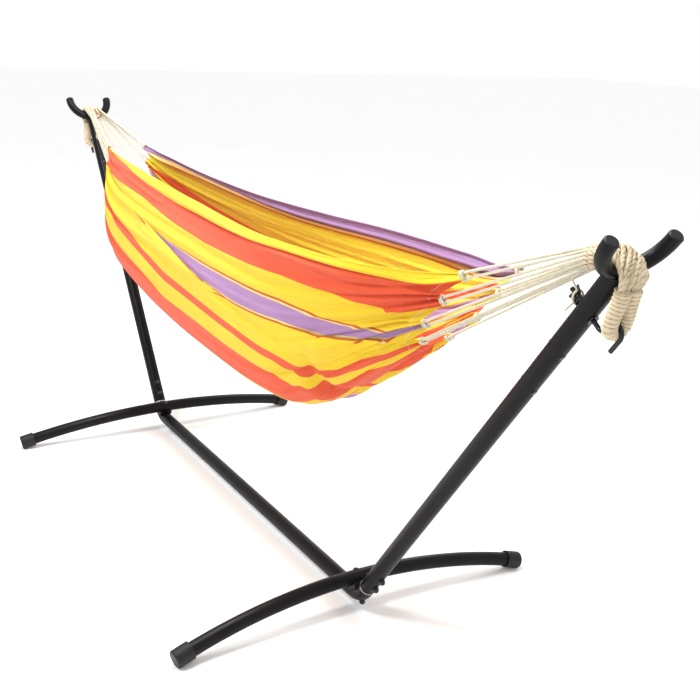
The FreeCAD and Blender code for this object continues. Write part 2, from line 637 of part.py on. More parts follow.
def make_cords(side):
    """One doubled cord per gather: from the neck out to the gather, round its bight and back."""
    neck_x = size["neck_face"] if side == "right" else -size["neck_face"]
    front = [Vector(*point) for point in CORD_GATHERS[side]]
    gathers = front + [Vector(point.x, -point.y, point.z) for point in reversed(front)]
    slots = 2 * len(gathers)
    for number, gather in enumerate(gathers, start=1):
        ends = []
        for slot in (2 * number - 2, 2 * number - 1):
            angle = math.radians(-240 + 300 * (slot + 0.5) / slots)
            ends.append(Vector(neck_x, size["neck_half_width"] * math.cos(angle),
                               size["swing_height"] + size["neck_half_height"] * math.sin(angle)))
        towards = ((ends[0] + ends[1]) * 0.5 - gather).normalize()
        along_edge = gathers[min(number, len(gathers) - 1)] - gathers[max(number - 2, 0)]
        spread = (along_edge - towards * along_edge.dot(towards)).normalize() * size["bight_half_width"]
        root = gather + towards * size["bight_reach"]
        wire, radii = rounded_path([ends[0], root - spread, root + spread, ends[1]])
        cord = piped(wire, size["cord_radius"])
        section = math.pi * size["cord_radius"] ** 2
        print(f"cord_{side}_{number} radii", [round(radius, 1) for radius in radii],
              "length", round(wire.Length), "volume ratio", round(cord.Volume / (section * wire.Length), 4))
        parts.append(made(f"cord_{side}_{number}", cord))


# ---------- build, check, write ----------

make_base_beam()
for hand_side in SIDES:
    make_elbow(hand_side)
    make_seam_ring(hand_side)
    make_leg(hand_side)
    make_foot_caps(hand_side)
    make_saddle(hand_side)
    make_lower_arm(hand_side)
    make_arm_sleeve(hand_side)
    make_upper_arm(hand_side)
    make_cradle(hand_side)
    make_cradle_plugs(hand_side)
    make_hook(hand_side)
    make_hook_nuts(hand_side)
    make_wing_nut(hand_side)
    make_bolts(hand_side)
    make_end_loop(hand_side)
make_hammock_bed()
for hand_side in SIDES:
    make_cords(hand_side)
doc.recompute()

for thing in doc.Objects:
    if "Invalid" in thing.State or "Error" in thing.State:
        raise RuntimeError(f"{thing.Label} failed: {thing.State}")
for part in parts:
    if part.Shape.isNull() or not part.Shape.isValid():
        raise RuntimeError(f"{part.Label} has no valid shape")

os.makedirs("parts", exist_ok=True)
for part in parts:
    part.Shape.exportStep(f"parts/{part.Label}.step")
print(len(parts), "nodes written")
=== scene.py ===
import math
import random

import bpy
import numpy as np
from mathutils import Matrix, Vector


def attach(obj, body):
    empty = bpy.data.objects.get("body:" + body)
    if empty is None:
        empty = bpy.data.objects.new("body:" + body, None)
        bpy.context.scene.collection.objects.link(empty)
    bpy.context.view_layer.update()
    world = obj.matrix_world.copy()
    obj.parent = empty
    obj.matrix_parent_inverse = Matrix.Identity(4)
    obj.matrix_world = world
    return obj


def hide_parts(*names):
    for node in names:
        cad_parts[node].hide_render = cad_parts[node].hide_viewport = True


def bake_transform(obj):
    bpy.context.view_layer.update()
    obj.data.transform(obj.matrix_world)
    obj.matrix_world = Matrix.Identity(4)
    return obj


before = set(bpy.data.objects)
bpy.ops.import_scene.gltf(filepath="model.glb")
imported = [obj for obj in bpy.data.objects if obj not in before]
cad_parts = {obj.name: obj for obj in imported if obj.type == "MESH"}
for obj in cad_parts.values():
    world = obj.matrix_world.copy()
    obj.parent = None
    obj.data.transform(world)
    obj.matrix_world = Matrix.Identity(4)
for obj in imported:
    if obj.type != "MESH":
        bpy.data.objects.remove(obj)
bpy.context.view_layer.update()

# A gathered-end cotton hammock on a steel tube stand. Metres; +X along the stand, +Y across it, +Z up.

scene = bpy.context.scene
dice = random.Random(7)
noise_dice = np.random.RandomState(11)

# ---------- camera ----------

CAMERA_PLACE = Vector((2.6342, -1.2540, 1.4352))
CAMERA_AZIMUTH, CAMERA_ELEVATION, CAMERA_ROLL = (math.radians(a) for a in (58.31, 17.5185, 2.4222))
back = Vector((math.sin(CAMERA_AZIMUTH) * math.cos(CAMERA_ELEVATION),
               -math.cos(CAMERA_AZIMUTH) * math.cos(CAMERA_ELEVATION), math.sin(CAMERA_ELEVATION)))
level_right = Vector((0, 0, 1)).cross(back).normalized()
level_up = back.cross(level_right)
right = level_right * math.cos(CAMERA_ROLL) + level_up * math.sin(CAMERA_ROLL)
up = level_up * math.cos(CAMERA_ROLL) - level_right * math.sin(CAMERA_ROLL)
camera_data = bpy.data.cameras.new("camera")
camera_data.lens = 51.584
camera_data.sensor_width = 36
camera = bpy.data.objects.new("camera", camera_data)
camera.matrix_world = Matrix.Translation(CAMERA_PLACE) @ Matrix((right, up, back)).transposed().to_4x4()
scene.collection.objects.link(camera)
scene.camera = camera


# ---------- colours and materials ----------

def linear(red, green, blue):
    """A screen colour, 0 to 255, as linear light."""
    def one(value):
        value /= 255
        return value / 12.92 if value <= 0.04045 else ((value + 0.055) / 1.055) ** 2.4
    return (one(red), one(green), one(blue), 1.0)


def grey(level):
    return (level, level, level, 1.0)


def scaled(colour, factor):
    return tuple(channel * factor for channel in colour[:3]) + (1.0,)


class Shader:
    """A material's node tree, with its Principled BSDF ready."""

    def __init__(self, name):
        self.material = bpy.data.materials.new(name)
        self.material.use_nodes = True
        self.tree = self.material.node_tree
        self.surface = self.tree.nodes["Principled BSDF"]

    def add(self, kind, **settings):
        node = self.tree.nodes.new(kind)
        for key, value in settings.items():
            setattr(node, key, value)
        return node

    def link(self, source, output, target, socket):
        self.tree.links.new(source.outputs[output], target.inputs[socket])

    def set(self, **sockets):
        for key, value in sockets.items():
            self.surface.inputs[key.replace("_", " ")].default_value = value
        return self

    def noise(self, scale, stretch=(1, 1, 1), detail=3.0, distortion=0.0, weave=None):
        """Noise in object coordinates, or in the cloth's own ones, stretched."""
        mapping = self.add("ShaderNodeMapping")
        mapping.inputs["Scale"].default_value = stretch
        if weave:
            self.link(weave, "UV", mapping, "Vector")
        else:
            self.link(self.add("ShaderNodeTexCoord"), "Object", mapping, "Vector")
        node = self.add("ShaderNodeTexNoise")
        node.inputs["Scale"].default_value = scale
        node.inputs["Detail"].default_value = detail
        node.inputs["Distortion"].default_value = distortion
        self.link(mapping, "Vector", node, "Vector")
        return node

    def multiply(self, colour, shade):
        """A colour output darkened by another."""
        blend = self.add("ShaderNodeMix", data_type="RGBA", blend_type="MULTIPLY")
        blend.inputs["Factor"].default_value = 1.0
        self.tree.links.new(colour, blend.inputs["A"])
        self.tree.links.new(shade, blend.inputs["B"])
        return blend.outputs["Result"]

    def ramp(self, source, output, stops, interpolation="LINEAR"):
        node = self.add("ShaderNodeValToRGB")
        node.color_ramp.interpolation = interpolation
        points = node.color_ramp.elements
        while len(points) > 1:
            points.remove(points[0])
        points[0].position, points[0].color = stops[0]
        for position, colour in stops[1:]:
            point = points.new(position)
            point.color = colour
        self.link(source, output, node, "Fac")
        return node

    def bump(self, source, output, strength, distance):
        node = self.add("ShaderNodeBump")
        node.inputs["Strength"].default_value = strength
        node.inputs["Distance"].default_value = distance
        self.link(source, output, node, "Height")
        self.link(node, "Normal", self.surface, "Normal")
        return node


def powder_coat(name, dark, pale, rough_low, rough_high, shine):
    """Black tube paint: a fine orange-peel skin, uneven gloss and faint dust."""
    shader = Shader(name)
    patches = shader.noise(9, detail=5)
    tint = shader.ramp(patches, "Fac", [(0.3, dark), (0.75, pale)])
    shader.link(tint, "Color", shader.surface, "Base Color")
    gloss = shader.ramp(patches, "Fac", [(0.25, grey(rough_low)), (0.8, grey(rough_high))])
    shader.link(gloss, "Color", shader.surface, "Roughness")
    shader.bump(shader.noise(900, detail=2), "Fac", 0.12, 0.0004)
    shader.set(Specular_IOR_Level=shine)
    return shader.material


def metal(name, colour, rough, metallic=1.0):
    shader = Shader(name)
    scratches = shader.noise(160, (1, 1, 7), detail=4)
    tint = shader.ramp(scratches, "Fac", [(0.3, scaled(colour, 0.8)), (0.7, colour)])
    shader.link(tint, "Color", shader.surface, "Base Color")
    gloss = shader.ramp(scratches, "Fac", [(0.2, grey(rough * 0.8)), (0.8, grey(rough * 1.3))])
    shader.link(gloss, "Color", shader.surface, "Roughness")
    shader.bump(scratches, "Fac", 0.1, 0.0002)
    shader.set(Metallic=metallic)
    return shader.material


def moulded(name, colour, rough):
    shader = Shader(name)
    grain = shader.noise(700, detail=2)
    tint = shader.ramp(shader.noise(30), "Fac", [(0.3, colour), (0.8, scaled(colour, 1.6))])
    shader.link(tint, "Color", shader.surface, "Base Color")
    shader.bump(grain, "Fac", 0.25, 0.0003)
    shader.set(Roughness=rough, Specular_IOR_Level=0.25)
    return shader.material


def cotton(name, light, shade, fuzz=0.35):
    """Twisted cotton cord: cream, with tan painted shade in the hollows between its plies (the mesh's own
    ply attribute).
    """
    shader = Shader(name)
    ply = shader.add("ShaderNodeAttribute", attribute_name="ply")
    # Painted shade: low ply values, the hollows, take the darker shade colour.
    painted_hollow_shade = shader.ramp(ply, "Fac", [(0.0, shade), (0.55, light)])
    mottle = shader.ramp(shader.noise(55, detail=4), "Fac", [(0.3, grey(0.86)), (0.7, grey(1.0))])
    colour = shader.multiply(painted_hollow_shade.outputs["Color"], mottle.outputs["Color"])
    shader.tree.links.new(colour, shader.surface.inputs["Base Color"])
    shader.bump(shader.noise(1400, detail=2), "Fac", 0.4, 0.0005)
    shader.set(Roughness=0.95, Sheen_Weight=fuzz, Specular_IOR_Level=0.15)
    return shader.material


# The rear yellow and coral are the front dyes made lighter: painted light, brightening the inside of the
# far wall.
YELLOW, REAR_YELLOW_PAINTED_LIGHT = linear(226, 190, 46), linear(232, 210, 62)
CORAL, REAR_CORAL_PAINTED_LIGHT = linear(216, 86, 55), linear(226, 96, 56)
# The rear lavender is darker than the front one: painted shade along the rear rim.
LAVENDER, REAR_LAVENDER_PAINTED_SHADE = linear(162, 124, 168), linear(142, 110, 148)
ORANGE = linear(182, 88, 38)
CREAM = linear(222, 192, 120)

# The cloth's stripes, front selvage to rear: where each of the near ones ends, the widths of those
# under the bed, and where the rear ones end, counted from the rear selvage. Colours after each.
NEAR_STRIPES = ((0.034, YELLOW), (0.088, CORAL), (0.138, YELLOW), (0.1425, ORANGE), (0.150, CREAM),
                (0.205, LAVENDER), (0.207, CREAM), (0.214, ORANGE), (0.265, YELLOW), (0.290, CORAL),
                (0.328, YELLOW), (0.440, CORAL))
UNDER_WIDTHS = ((0.050, YELLOW), (0.030, CORAL), (0.055, YELLOW), (0.005, ORANGE), (0.008, CREAM),
                (0.060, LAVENDER), (0.006, CREAM), (0.005, ORANGE), (0.055, YELLOW), (0.060, CORAL),
                (0.050, YELLOW), (0.040, CORAL), (0.055, YELLOW), (0.005, ORANGE), (0.008, CREAM),
                (0.050, LAVENDER), (0.006, CREAM), (0.005, ORANGE), (0.040, REAR_YELLOW_PAINTED_LIGHT),
                (0.047, REAR_CORAL_PAINTED_LIGHT))
REAR_STRIPES = ((-0.060, REAR_YELLOW_PAINTED_LIGHT), (-0.056, ORANGE), (-0.045, CREAM), (0.0, REAR_LAVENDER_PAINTED_SHADE))
CLOTH_WIDTH = 1.25
REAR_START = CLOTH_WIDTH - 0.17
RAMP_SPLIT = 0.6            # a colour ramp holds 32 stops at most, so the stripes take two


def stripe_list():
    stripes = list(NEAR_STRIPES)
    place = stripes[-1][0]
    for width, colour in UNDER_WIDTHS:
        place += width
        stripes.append((place, colour))
    stripes += [(CLOTH_WIDTH + offset, colour) for offset, colour in REAR_STRIPES]
    return stripes


def stripe_stops(stripes, low, high):
    """Constant ramp stops for the stripes between two places, over the whole width."""
    stops = []
    start = 0.0
    for end, colour in stripes:
        if end > low and start < high:
            stops.append((max(start, low) / CLOTH_WIDTH, colour))
        start = end
    return stops


def stripe_colours(shader):
    """The stripe colour at each place across the cloth, from two ramps that meet at RAMP_SPLIT."""
    place = shader.add("ShaderNodeAttribute", attribute_name="across")
    share = shader.add("ShaderNodeMath", operation="DIVIDE")
    share.inputs[1].default_value = CLOTH_WIDTH
    shader.link(place, "Fac", share, 0)
    stripes = stripe_list()
    low = shader.ramp(share, "Value", stripe_stops(stripes, 0.0, RAMP_SPLIT), "CONSTANT")
    high = shader.ramp(share, "Value", stripe_stops(stripes, RAMP_SPLIT, CLOTH_WIDTH), "CONSTANT")
    chooser = shader.add("ShaderNodeMath", operation="GREATER_THAN")
    chooser.inputs[1].default_value = RAMP_SPLIT
    shader.link(place, "Fac", chooser, 0)
    stripe = shader.add("ShaderNodeMix", data_type="RGBA")
    shader.link(chooser, "Value", stripe, "Factor")
    shader.link(low, "Color", stripe, "A")
    shader.link(high, "Color", stripe, "B")
    return stripe.outputs["Result"]


def threads(shader, weave):
    """Warp and weft as fine bands both ways."""
    crossing = shader.add("ShaderNodeMath", operation="ADD")
    for socket, (direction, count) in enumerate((("X", 1100.0), ("Y", 800.0))):
        band = shader.add("ShaderNodeTexWave", bands_direction=direction)
        band.inputs["Scale"].default_value = count / (2 * math.pi) * 0.32
        band.inputs["Distortion"].default_value = 0.6
        shader.link(weave, "UV", band, "Vector")
        shader.link(band, "Fac", crossing, socket)
    return crossing


def striped_cloth():
    """Striped cotton with streaks along the yarn, soft patches, threads and crinkles."""
    shader = Shader("striped_cloth")
    weave = shader.add("ShaderNodeUVMap", uv_map="weave")
    streaks = shader.ramp(shader.noise(3.0, (3.0, 260.0, 1.0), 3.0, weave=weave), "Fac",
                          [(0.3, grey(0.86)), (0.62, grey(1.0))])
    patches = shader.ramp(shader.noise(7, detail=4), "Fac", [(0.3, grey(0.93)), (0.7, grey(1.0))])
    colour = stripe_colours(shader)
    for shade in (streaks, patches):
        colour = shader.multiply(colour, shade.outputs["Color"])
    shader.tree.links.new(colour, shader.surface.inputs["Base Color"])
    # The threads' bump takes the crinkles' place on the surface, and reads their normal.
    coarse = shader.bump(shader.noise(1.0, (16.0, 75.0, 1.0), 4.0, 0.6, weave), "Fac", 0.55, 0.006)
    fine = shader.bump(threads(shader, weave), "Value", 0.25, 0.0006)
    shader.link(coarse, "Normal", fine, "Normal")
    shader.set(Roughness=0.92, Sheen_Weight=0.1, Specular_IOR_Level=0.12)
    return shader.material


BLACK_TUBE = powder_coat("black_tube", linear(15, 13, 16), linear(22, 20, 22), 0.28, 0.42, 0.12)
BLACK_GLOSS = powder_coat("black_gloss", linear(14, 13, 15), linear(20, 19, 21), 0.12, 0.22, 0.35)
BLACK_PLASTIC = moulded("black_plastic", linear(20, 20, 22), 0.5)
BLACK_BOLT = metal("black_bolt", linear(60, 58, 60), 0.3, 0.8)
ZINC = metal("zinc", linear(214, 212, 204), 0.28)
# Each cotton's second colour is painted shade, laid in the hollows between plies and between whip turns.
CORD_COTTON = cotton("cord_cotton", linear(210, 203, 182), linear(112, 95, 66), 0.1)
WHIP_COTTON = cotton("whip_cotton", linear(210, 194, 164), linear(86, 64, 38), 0.1)
SEAM_THREAD = cotton("seam_thread", linear(226, 216, 208), linear(200, 184, 178), 0.1)
CLOTH = striped_cloth()


# ---------- mesh helpers ----------

def mesh_object(name, vertices, faces, material, smooth=True):
    mesh = bpy.data.meshes.new(name)
    mesh.from_pydata([tuple(v) for v in vertices], [], faces)
    mesh.materials.append(material)
    mesh.polygons.foreach_set("use_smooth", [smooth] * len(mesh.polygons))
    mesh.update()
    piece = bpy.data.objects.new(name, mesh)
    scene.collection.objects.link(piece)
    return piece


def add_attribute(piece, name, values):
    layer = piece.data.attributes.new(name, "FLOAT", "POINT")
    layer.data.foreach_set("value", np.asarray(values, dtype=np.float32))


def path_frames(path):
    """Tangents and two steady normals along a path, turned as little as possible from ring to ring."""
    path = np.asarray(path, float)
    tangents = np.gradient(path, axis=0)
    tangents /= np.linalg.norm(tangents, axis=1)[:, None]
    start = np.array((0.0, 1.0, 0.0)) if abs(tangents[0][1]) < 0.9 else np.array((0.0, 0.0, 1.0))
    side = start - tangents[0] * start.dot(tangents[0])
    side /= np.linalg.norm(side)
    sides = [side]
    for tangent in tangents[1:]:
        side = sides[-1] - tangent * sides[-1].dot(tangent)
        sides.append(side / np.linalg.norm(side))
    sides = np.array(sides)
    return tangents, sides, np.cross(tangents, sides)


def path_lengths(path):
    steps = np.linalg.norm(np.diff(np.asarray(path, float), axis=0), axis=1)
    return np.concatenate(([0.0], np.cumsum(steps)))


def resampled(path, step):
    path = np.asarray(path, float)
    lengths = path_lengths(path)
    count = max(2, int(round(lengths[-1] / step)) + 1)
    wanted = np.linspace(0, lengths[-1], count)
    return np.stack([np.interp(wanted, lengths, path[:, k]) for k in range(3)], axis=1)


def tube_data(path, radius_at, around, first=0):
    """Rings of a capped tube; radius_at(length, angles) gives the radii and the ply depth, 0 to 1."""
    path = np.asarray(path, float)
    _, sides, ups = path_frames(path)
    lengths = path_lengths(path)
    angles = np.linspace(0, 2 * math.pi, around, endpoint=False)
    vertices, depths, faces = [], [], []
    for ring, (centre, side, upward) in enumerate(zip(path, sides, ups)):
        radii, depth = radius_at(lengths[ring], angles)
        vertices.append(centre + np.outer(radii * np.cos(angles), side)
                        + np.outer(radii * np.sin(angles), upward))
        depths.append(depth)
        if ring:
            low = first + (ring - 1) * around
            for k in range(around):
                after = (k + 1) % around
                faces.append((low + k, low + after, low + around + after, low + around + k))
    last = first + (len(path) - 1) * around
    faces.append(tuple(range(first + around - 1, first - 1, -1)))
    faces.append(tuple(range(last, last + around)))
    return np.concatenate(vertices), np.concatenate(depths), faces


def twisted(radius, plies, pitch, depth=0.2, start=0.0):
    """A rope's section: rounded plies that turn about its middle."""
    def radius_at(length, angles):
        phase = 0.5 * plies * (angles - start - 2 * math.pi * length / pitch)
        ply = np.abs(np.cos(phase)) ** 0.7
        return radius * (1 - depth + depth * ply), ply
    return radius_at


def plain(radius):
    def radius_at(length, angles):
        return np.full(len(angles), radius), np.ones(len(angles))
    return radius_at


def tubes_object(name, jobs, material, around):
    """Several tubes in one mesh; jobs are (path, radius_at)."""
    vertices, depths, faces = [], [], []
    count = 0
    for path, radius_at in jobs:
        points, depth, polygons = tube_data(path, radius_at, around, count)
        vertices.append(points)
        depths.append(depth)
        faces += polygons
        count += len(points)
    piece = mesh_object(name, np.concatenate(vertices), faces, material)
    add_attribute(piece, "ply", np.concatenate(depths))
    return piece


# ---------- cords ----------

NECK_X, SWING_HEIGHT = 1.396, 1.084
NECK_HALF_WIDTH, NECK_HALF_HEIGHT = 0.024, 0.022
BIGHT_HALF_WIDTH, BIGHT_REACH = 0.0065, 0.023
CORD_RADIUS = 0.003
CORD_PITCH = 0.019
CORD_GATHERS = {
    "left": ((-1.019, -0.073, 0.990), (-1.007, -0.076, 0.936),
             (-0.994, -0.067, 0.878), (-0.986, -0.026, 0.846)),
    "right": ((1.104, -0.075, 0.986), (1.048, -0.076, 0.922),
              (0.988, -0.071, 0.855), (0.938, -0.036, 0.799)),
}
CORD_SAMPLE = 0.0022


def gathers_of(side):
    front = [Vector(point) for point in CORD_GATHERS[side]]
    return front + [Vector((point.x, -point.y, point.z)) for point in reversed(front)]


def neck_ends(side, number):
    """The two ends of a doubled cord on the neck's ring; number counts from 0."""
    slots = 2 * len(gathers_of(side))
    ends = []
    for slot in (2 * number, 2 * number + 1):
        angle = math.radians(-240 + 300 * (slot + 0.5) / slots)
        ends.append(Vector((NECK_X if side == "right" else -NECK_X, NECK_HALF_WIDTH * math.cos(angle),
                            SWING_HEIGHT + NECK_HALF_HEIGHT * math.sin(angle))))
    return ends


def cord_route(side, number):
    gathers = gathers_of(side)
    gather = gathers[number]
    ends = neck_ends(side, number)
    towards = ((ends[0] + ends[1]) * 0.5 - gather).normalized()
    along_edge = gathers[min(number + 1, len(gathers) - 1)] - gathers[max(number - 1, 0)]
    spread = (along_edge - towards * along_edge.dot(towards)).normalized() * BIGHT_HALF_WIDTH
    root = gather + towards * BIGHT_REACH
    near_bight = 12 * CORD_RADIUS
    low, high = root - spread, root + spread
    before = low + (ends[0] - low).normalized() * near_bight
    after = high + (ends[1] - high).normalized() * near_bight
    return [ends[0], before, low, high, after, ends[1]], towards


def nurbs_path(points):
    """The points of a smooth curve through a route's control points."""
    data = bpy.data.curves.new("route", "CURVE")
    data.dimensions = "3D"
    data.resolution_u = 48
    spline = data.splines.new("NURBS")
    spline.points.add(len(points) - 1)
    for control, point in zip(spline.points, points):
        control.co = (*point, 1.0)
    spline.order_u = 3
    spline.use_endpoint_u = True
    carrier = bpy.data.objects.new("route", data)
    scene.collection.objects.link(carrier)
    mesh = bpy.data.meshes.new_from_object(carrier)
    path = np.array([vertex.co[:] for vertex in mesh.vertices])
    bpy.data.objects.remove(carrier)
    bpy.data.curves.remove(data)
    bpy.data.meshes.remove(mesh)
    return path


for side in ("left", "right"):
    for number in range(8):
        route, _ = cord_route(side, number)
        path = resampled(nurbs_path(route), CORD_SAMPLE)
        name = f"rope_{side}_{number + 1}"
        plies = twisted(CORD_RADIUS * 1.04, 3, CORD_PITCH, 0.22, dice.random() * 6)
        piece = tubes_object(name, [(path, plies)], CORD_COTTON, 12)
        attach(piece, "hammock")
        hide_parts(f"cord_{side}_{number + 1}")


# ---------- cloth ----------

# Stations from the left gather to the right one: top x, top z, half width at the edge,
# bottom x, bottom z, half width of the belly, in millimetres.
CLOTH_STATIONS = np.array((
    (-1020, 995, 75, -985, 840, 80), (-930, 986, 80, -935, 680, 130), (-740, 976, 90, -800, 550, 165),
    (-420, 962, 105, -460, 492, 178), (-100, 954, 125, -100, 476, 185), (200, 954, 155, 200, 474, 192),
    (500, 960, 180, 450, 492, 195), (800, 970, 168, 640, 590, 165), (1000, 982, 120, 800, 700, 115),
    (1108, 992, 78, 925, 785, 78)), float) / 1000
LENGTHWISE, CROSSWISE = 380, 481
FLAT_WIDTH, CLOTH_LENGTH = 1.40, 2.25
CLOTH_THICKNESS = 0.0016

# Where each stripe edge lies on the hung cloth: its place across the flat cloth, then its distance from
# the nearer selvage at these shares of the length.
EDGE_SHARES = (0.0, 0.1, 0.2, 0.3, 0.4, 0.5, 0.6, 0.7, 0.78, 0.85, 0.92, 1.0)
NEAR_EDGES = (
    (0.034, (0.010, 0.008, 0.010, 0.028, 0.034, 0.032, 0.023, 0.018, 0.020, 0.028, 0.034, 0.035)),
    (0.088, (0.055, 0.066, 0.072, 0.071, 0.087, 0.091, 0.082, 0.075, 0.084, 0.106, 0.131, 0.120)),
    (0.138, (0.062, 0.073, 0.097, 0.128, 0.150, 0.145, 0.137, 0.134, 0.157, 0.177, 0.188, 0.170)),
    (0.150, (0.0623, 0.0733, 0.0973, 0.130, 0.154, 0.157, 0.150, 0.149, 0.168, 0.188, 0.200, 0.178)),
    (0.205, (0.0627, 0.0737, 0.0977, 0.1325, 0.1635, 0.194, 0.201, 0.194, 0.207, 0.211, 0.221, 0.200)),
    (0.214, (0.0635, 0.0745, 0.0985, 0.1335, 0.1645, 0.197, 0.208, 0.203, 0.213, 0.218, 0.228, 0.206)),
    (0.265, (0.110, 0.135, 0.168, 0.213, 0.249, 0.259, 0.267, 0.281, 0.326, 0.309, 0.282, 0.255)),
    (0.290, (0.125, 0.155, 0.192, 0.238, 0.273, 0.279, 0.284, 0.305, 0.365, 0.355, 0.320, 0.275)),
    (0.328, (0.150, 0.195, 0.248, 0.292, 0.326, 0.328, 0.336, 0.355, 0.412, 0.385, 0.350, 0.290)),
    (0.440, (0.185, 0.280, 0.380, 0.440, 0.460, 0.460, 0.460, 0.475, 0.520, 0.480, 0.430, 0.330)),
)
REAR_EDGES = (
    (REAR_START, (0.062, 0.085, 0.104, 0.130, 0.145, 0.150, 0.145, 0.140, 0.128, 0.100, 0.068, 0.045)),
    (CLOTH_WIDTH - 0.060,
     (0.027, 0.032, 0.036, 0.036, 0.046, 0.056, 0.054, 0.058, 0.062, 0.064, 0.054, 0.036)),
    (CLOTH_WIDTH - 0.045,
     (0.016, 0.015, 0.013, 0.018, 0.028, 0.042, 0.042, 0.041, 0.046, 0.050, 0.045, 0.028)),
)
TUCKED_FROM, TUCKED_TO = 0.13, 0.22     # the stripes that the long fold swallows
TUCKED_MIDDLE = 0.176


def monotone(rows, places):
    """Smooth rows at the asked places, 0 to 1, with no overshoot between the given ones."""
    rows = np.asarray(rows, float)
    slopes = np.diff(rows, axis=0)
    tangents = np.zeros_like(rows)
    for k in range(1, len(rows) - 1):
        same = slopes[k - 1] * slopes[k] > 0
        total = slopes[k - 1] + slopes[k]
        tangents[k] = np.where(same, 2 * slopes[k - 1] * slopes[k] / np.where(same, total, 1.0), 0)
    tangents[0], tangents[-1] = slopes[0], slopes[-1]
    scaled = np.asarray(places) * (len(rows) - 1)
    base = np.clip(scaled.astype(int), 0, len(rows) - 2)
    t = (scaled - base)[:, None]
    return ((2 * t ** 3 - 3 * t ** 2 + 1) * rows[base] + (t ** 3 - 2 * t ** 2 + t) * tangents[base]
            + (3 * t ** 2 - 2 * t ** 3) * rows[base + 1] + (t ** 3 - t ** 2) * tangents[base + 1])


def catmull(points, count):
    points = np.vstack([2 * points[0] - points[1], points, 2 * points[-1] - points[-2]])
    runs = []
    for k in range(1, len(points) - 2):
        t = np.linspace(0, 1, count, endpoint=False)[:, None]
        a, b, c, d = points[k - 1:k + 3]
        runs.append(0.5 * (2 * b + (c - a) * t + (2 * a - 5 * b + 4 * c - d) * t ** 2
                           + (3 * b - a - 3 * c + d) * t ** 3))
    runs.append(points[-2][None])
    return np.vstack(runs)


def smooth_section(row):
    top_x, top_z, edge, low_x, low_z, belly = row

    def point(height, half):
        return (low_x + (top_x - low_x) * height, half, low_z + (top_z - low_z) * height)
    half = [point(0, 0), point(0.07, 0.56 * belly), point(0.28, 0.92 * belly),
            point(0.62, (edge + 2 * belly) / 3), point(1, edge)]
    front = [(x, -y, z) for x, y, z in reversed(half)]
    return catmull(np.array(front + half[1:]), 24)


even_rows = np.linspace(0, 1, LENGTHWISE)
along_share = 0.5 * even_rows + 0.25 * (1 - np.cos(math.pi * even_rows))   # closer rows at the gathers
# The long fold: its distance from the front selvage at shares of the length, and the mesh columns and
# the width of cloth that it takes.
FOLD_LINE = ((0, 0.063), (0.1, 0.074), (0.2, 0.098), (0.3, 0.133), (0.4, 0.164), (0.5, 0.194),
             (0.55, 0.203), (0.62, 0.206), (0.7, 0.199), (0.74, 0.204), (0.78, 0.210), (0.85, 0.215),
             (0.92, 0.225), (1, 0.203))
FOLD_COLUMNS = (125, 165)
FOLD_BAND = 0.003
fold_at = np.interp(along_share, *zip(*FOLD_LINE))
fold_at = np.convolve(np.pad(fold_at, 10, mode="edge"), np.full(21, 1 / 21), mode="valid")
base = np.zeros((LENGTHWISE, CROSSWISE, 3))
across = np.zeros((LENGTHWISE, CROSSWISE))
girth = np.zeros(LENGTHWISE)
for k, row in enumerate(monotone(CLOTH_STATIONS, along_share)):
    section = smooth_section(row)
    lengths = path_lengths(section)
    girth[k] = lengths[-1]
    low, high = fold_at[k] - FOLD_BAND / 2, fold_at[k] + FOLD_BAND / 2
    across[k] = np.interp(np.arange(CROSSWISE), (0, *FOLD_COLUMNS, CROSSWISE - 1),
                          (0, low, high, girth[k]))
    for axis in range(3):
        base[k, :, axis] = np.interp(across[k], lengths, section[:, axis])
girth_share = across / girth[:, None]
from_rear = girth[:, None] - across
share = np.repeat(along_share[:, None], CROSSWISE, axis=1)


def at_shares(values):
    """Values given at EDGE_SHARES, at every lengthwise row."""
    dense = np.interp(along_share, EDGE_SHARES, values)
    kernel = np.exp(-np.linspace(-2, 2, 11) ** 2)
    padded = np.pad(dense, 5, mode="edge")
    return np.convolve(padded, kernel / kernel.sum(), mode="valid")


def fabric_place():
    """The cloth's own cross coordinate at every vertex; where a fold hides cloth, it runs fast."""
    tucked = 1 - ramped(0.34, 0.42)[:, 0]
    near = []
    for place, values in NEAR_EDGES:
        edge = at_shares(values)
        if TUCKED_FROM < place < TUCKED_TO:
            edge = edge + tucked * (fold_at + FOLD_BAND * (place - TUCKED_MIDDLE) - edge)
        near.append((place, edge))
    rear = [(place, girth - at_shares(values)) for place, values in REAR_EDGES]
    places = [0.0] + [place for place, _ in near + rear] + [CLOTH_WIDTH]
    result = np.zeros((LENGTHWISE, CROSSWISE))
    for k in range(LENGTHWISE):
        edges = [0.0] + [edge[k] for _, edge in near + rear] + [girth[k]]
        result[k] = np.interp(across[k], np.maximum.accumulate(edges), places)
    return result


def bell(values, middle, width):
    return np.exp(-((values - middle) / width) ** 2)


def ramped(low, high):
    """0 before low, 1 after high, smooth between, over the cloth's length."""
    t = np.clip((share - low) / (high - low), 0, 1)
    return t * t * (3 - 2 * t)


def track(points):
    """A line across the cloth: (share of length, distance from the front selvage) pairs, at every row."""
    shares, places = zip(*points)
    return np.interp(along_share, shares, places)[:, None]


CLOTH_SPAN = 2.13
FOLD_DEPTH = 0.017
PLEATS = 46
BROAD_FOLDS = 26
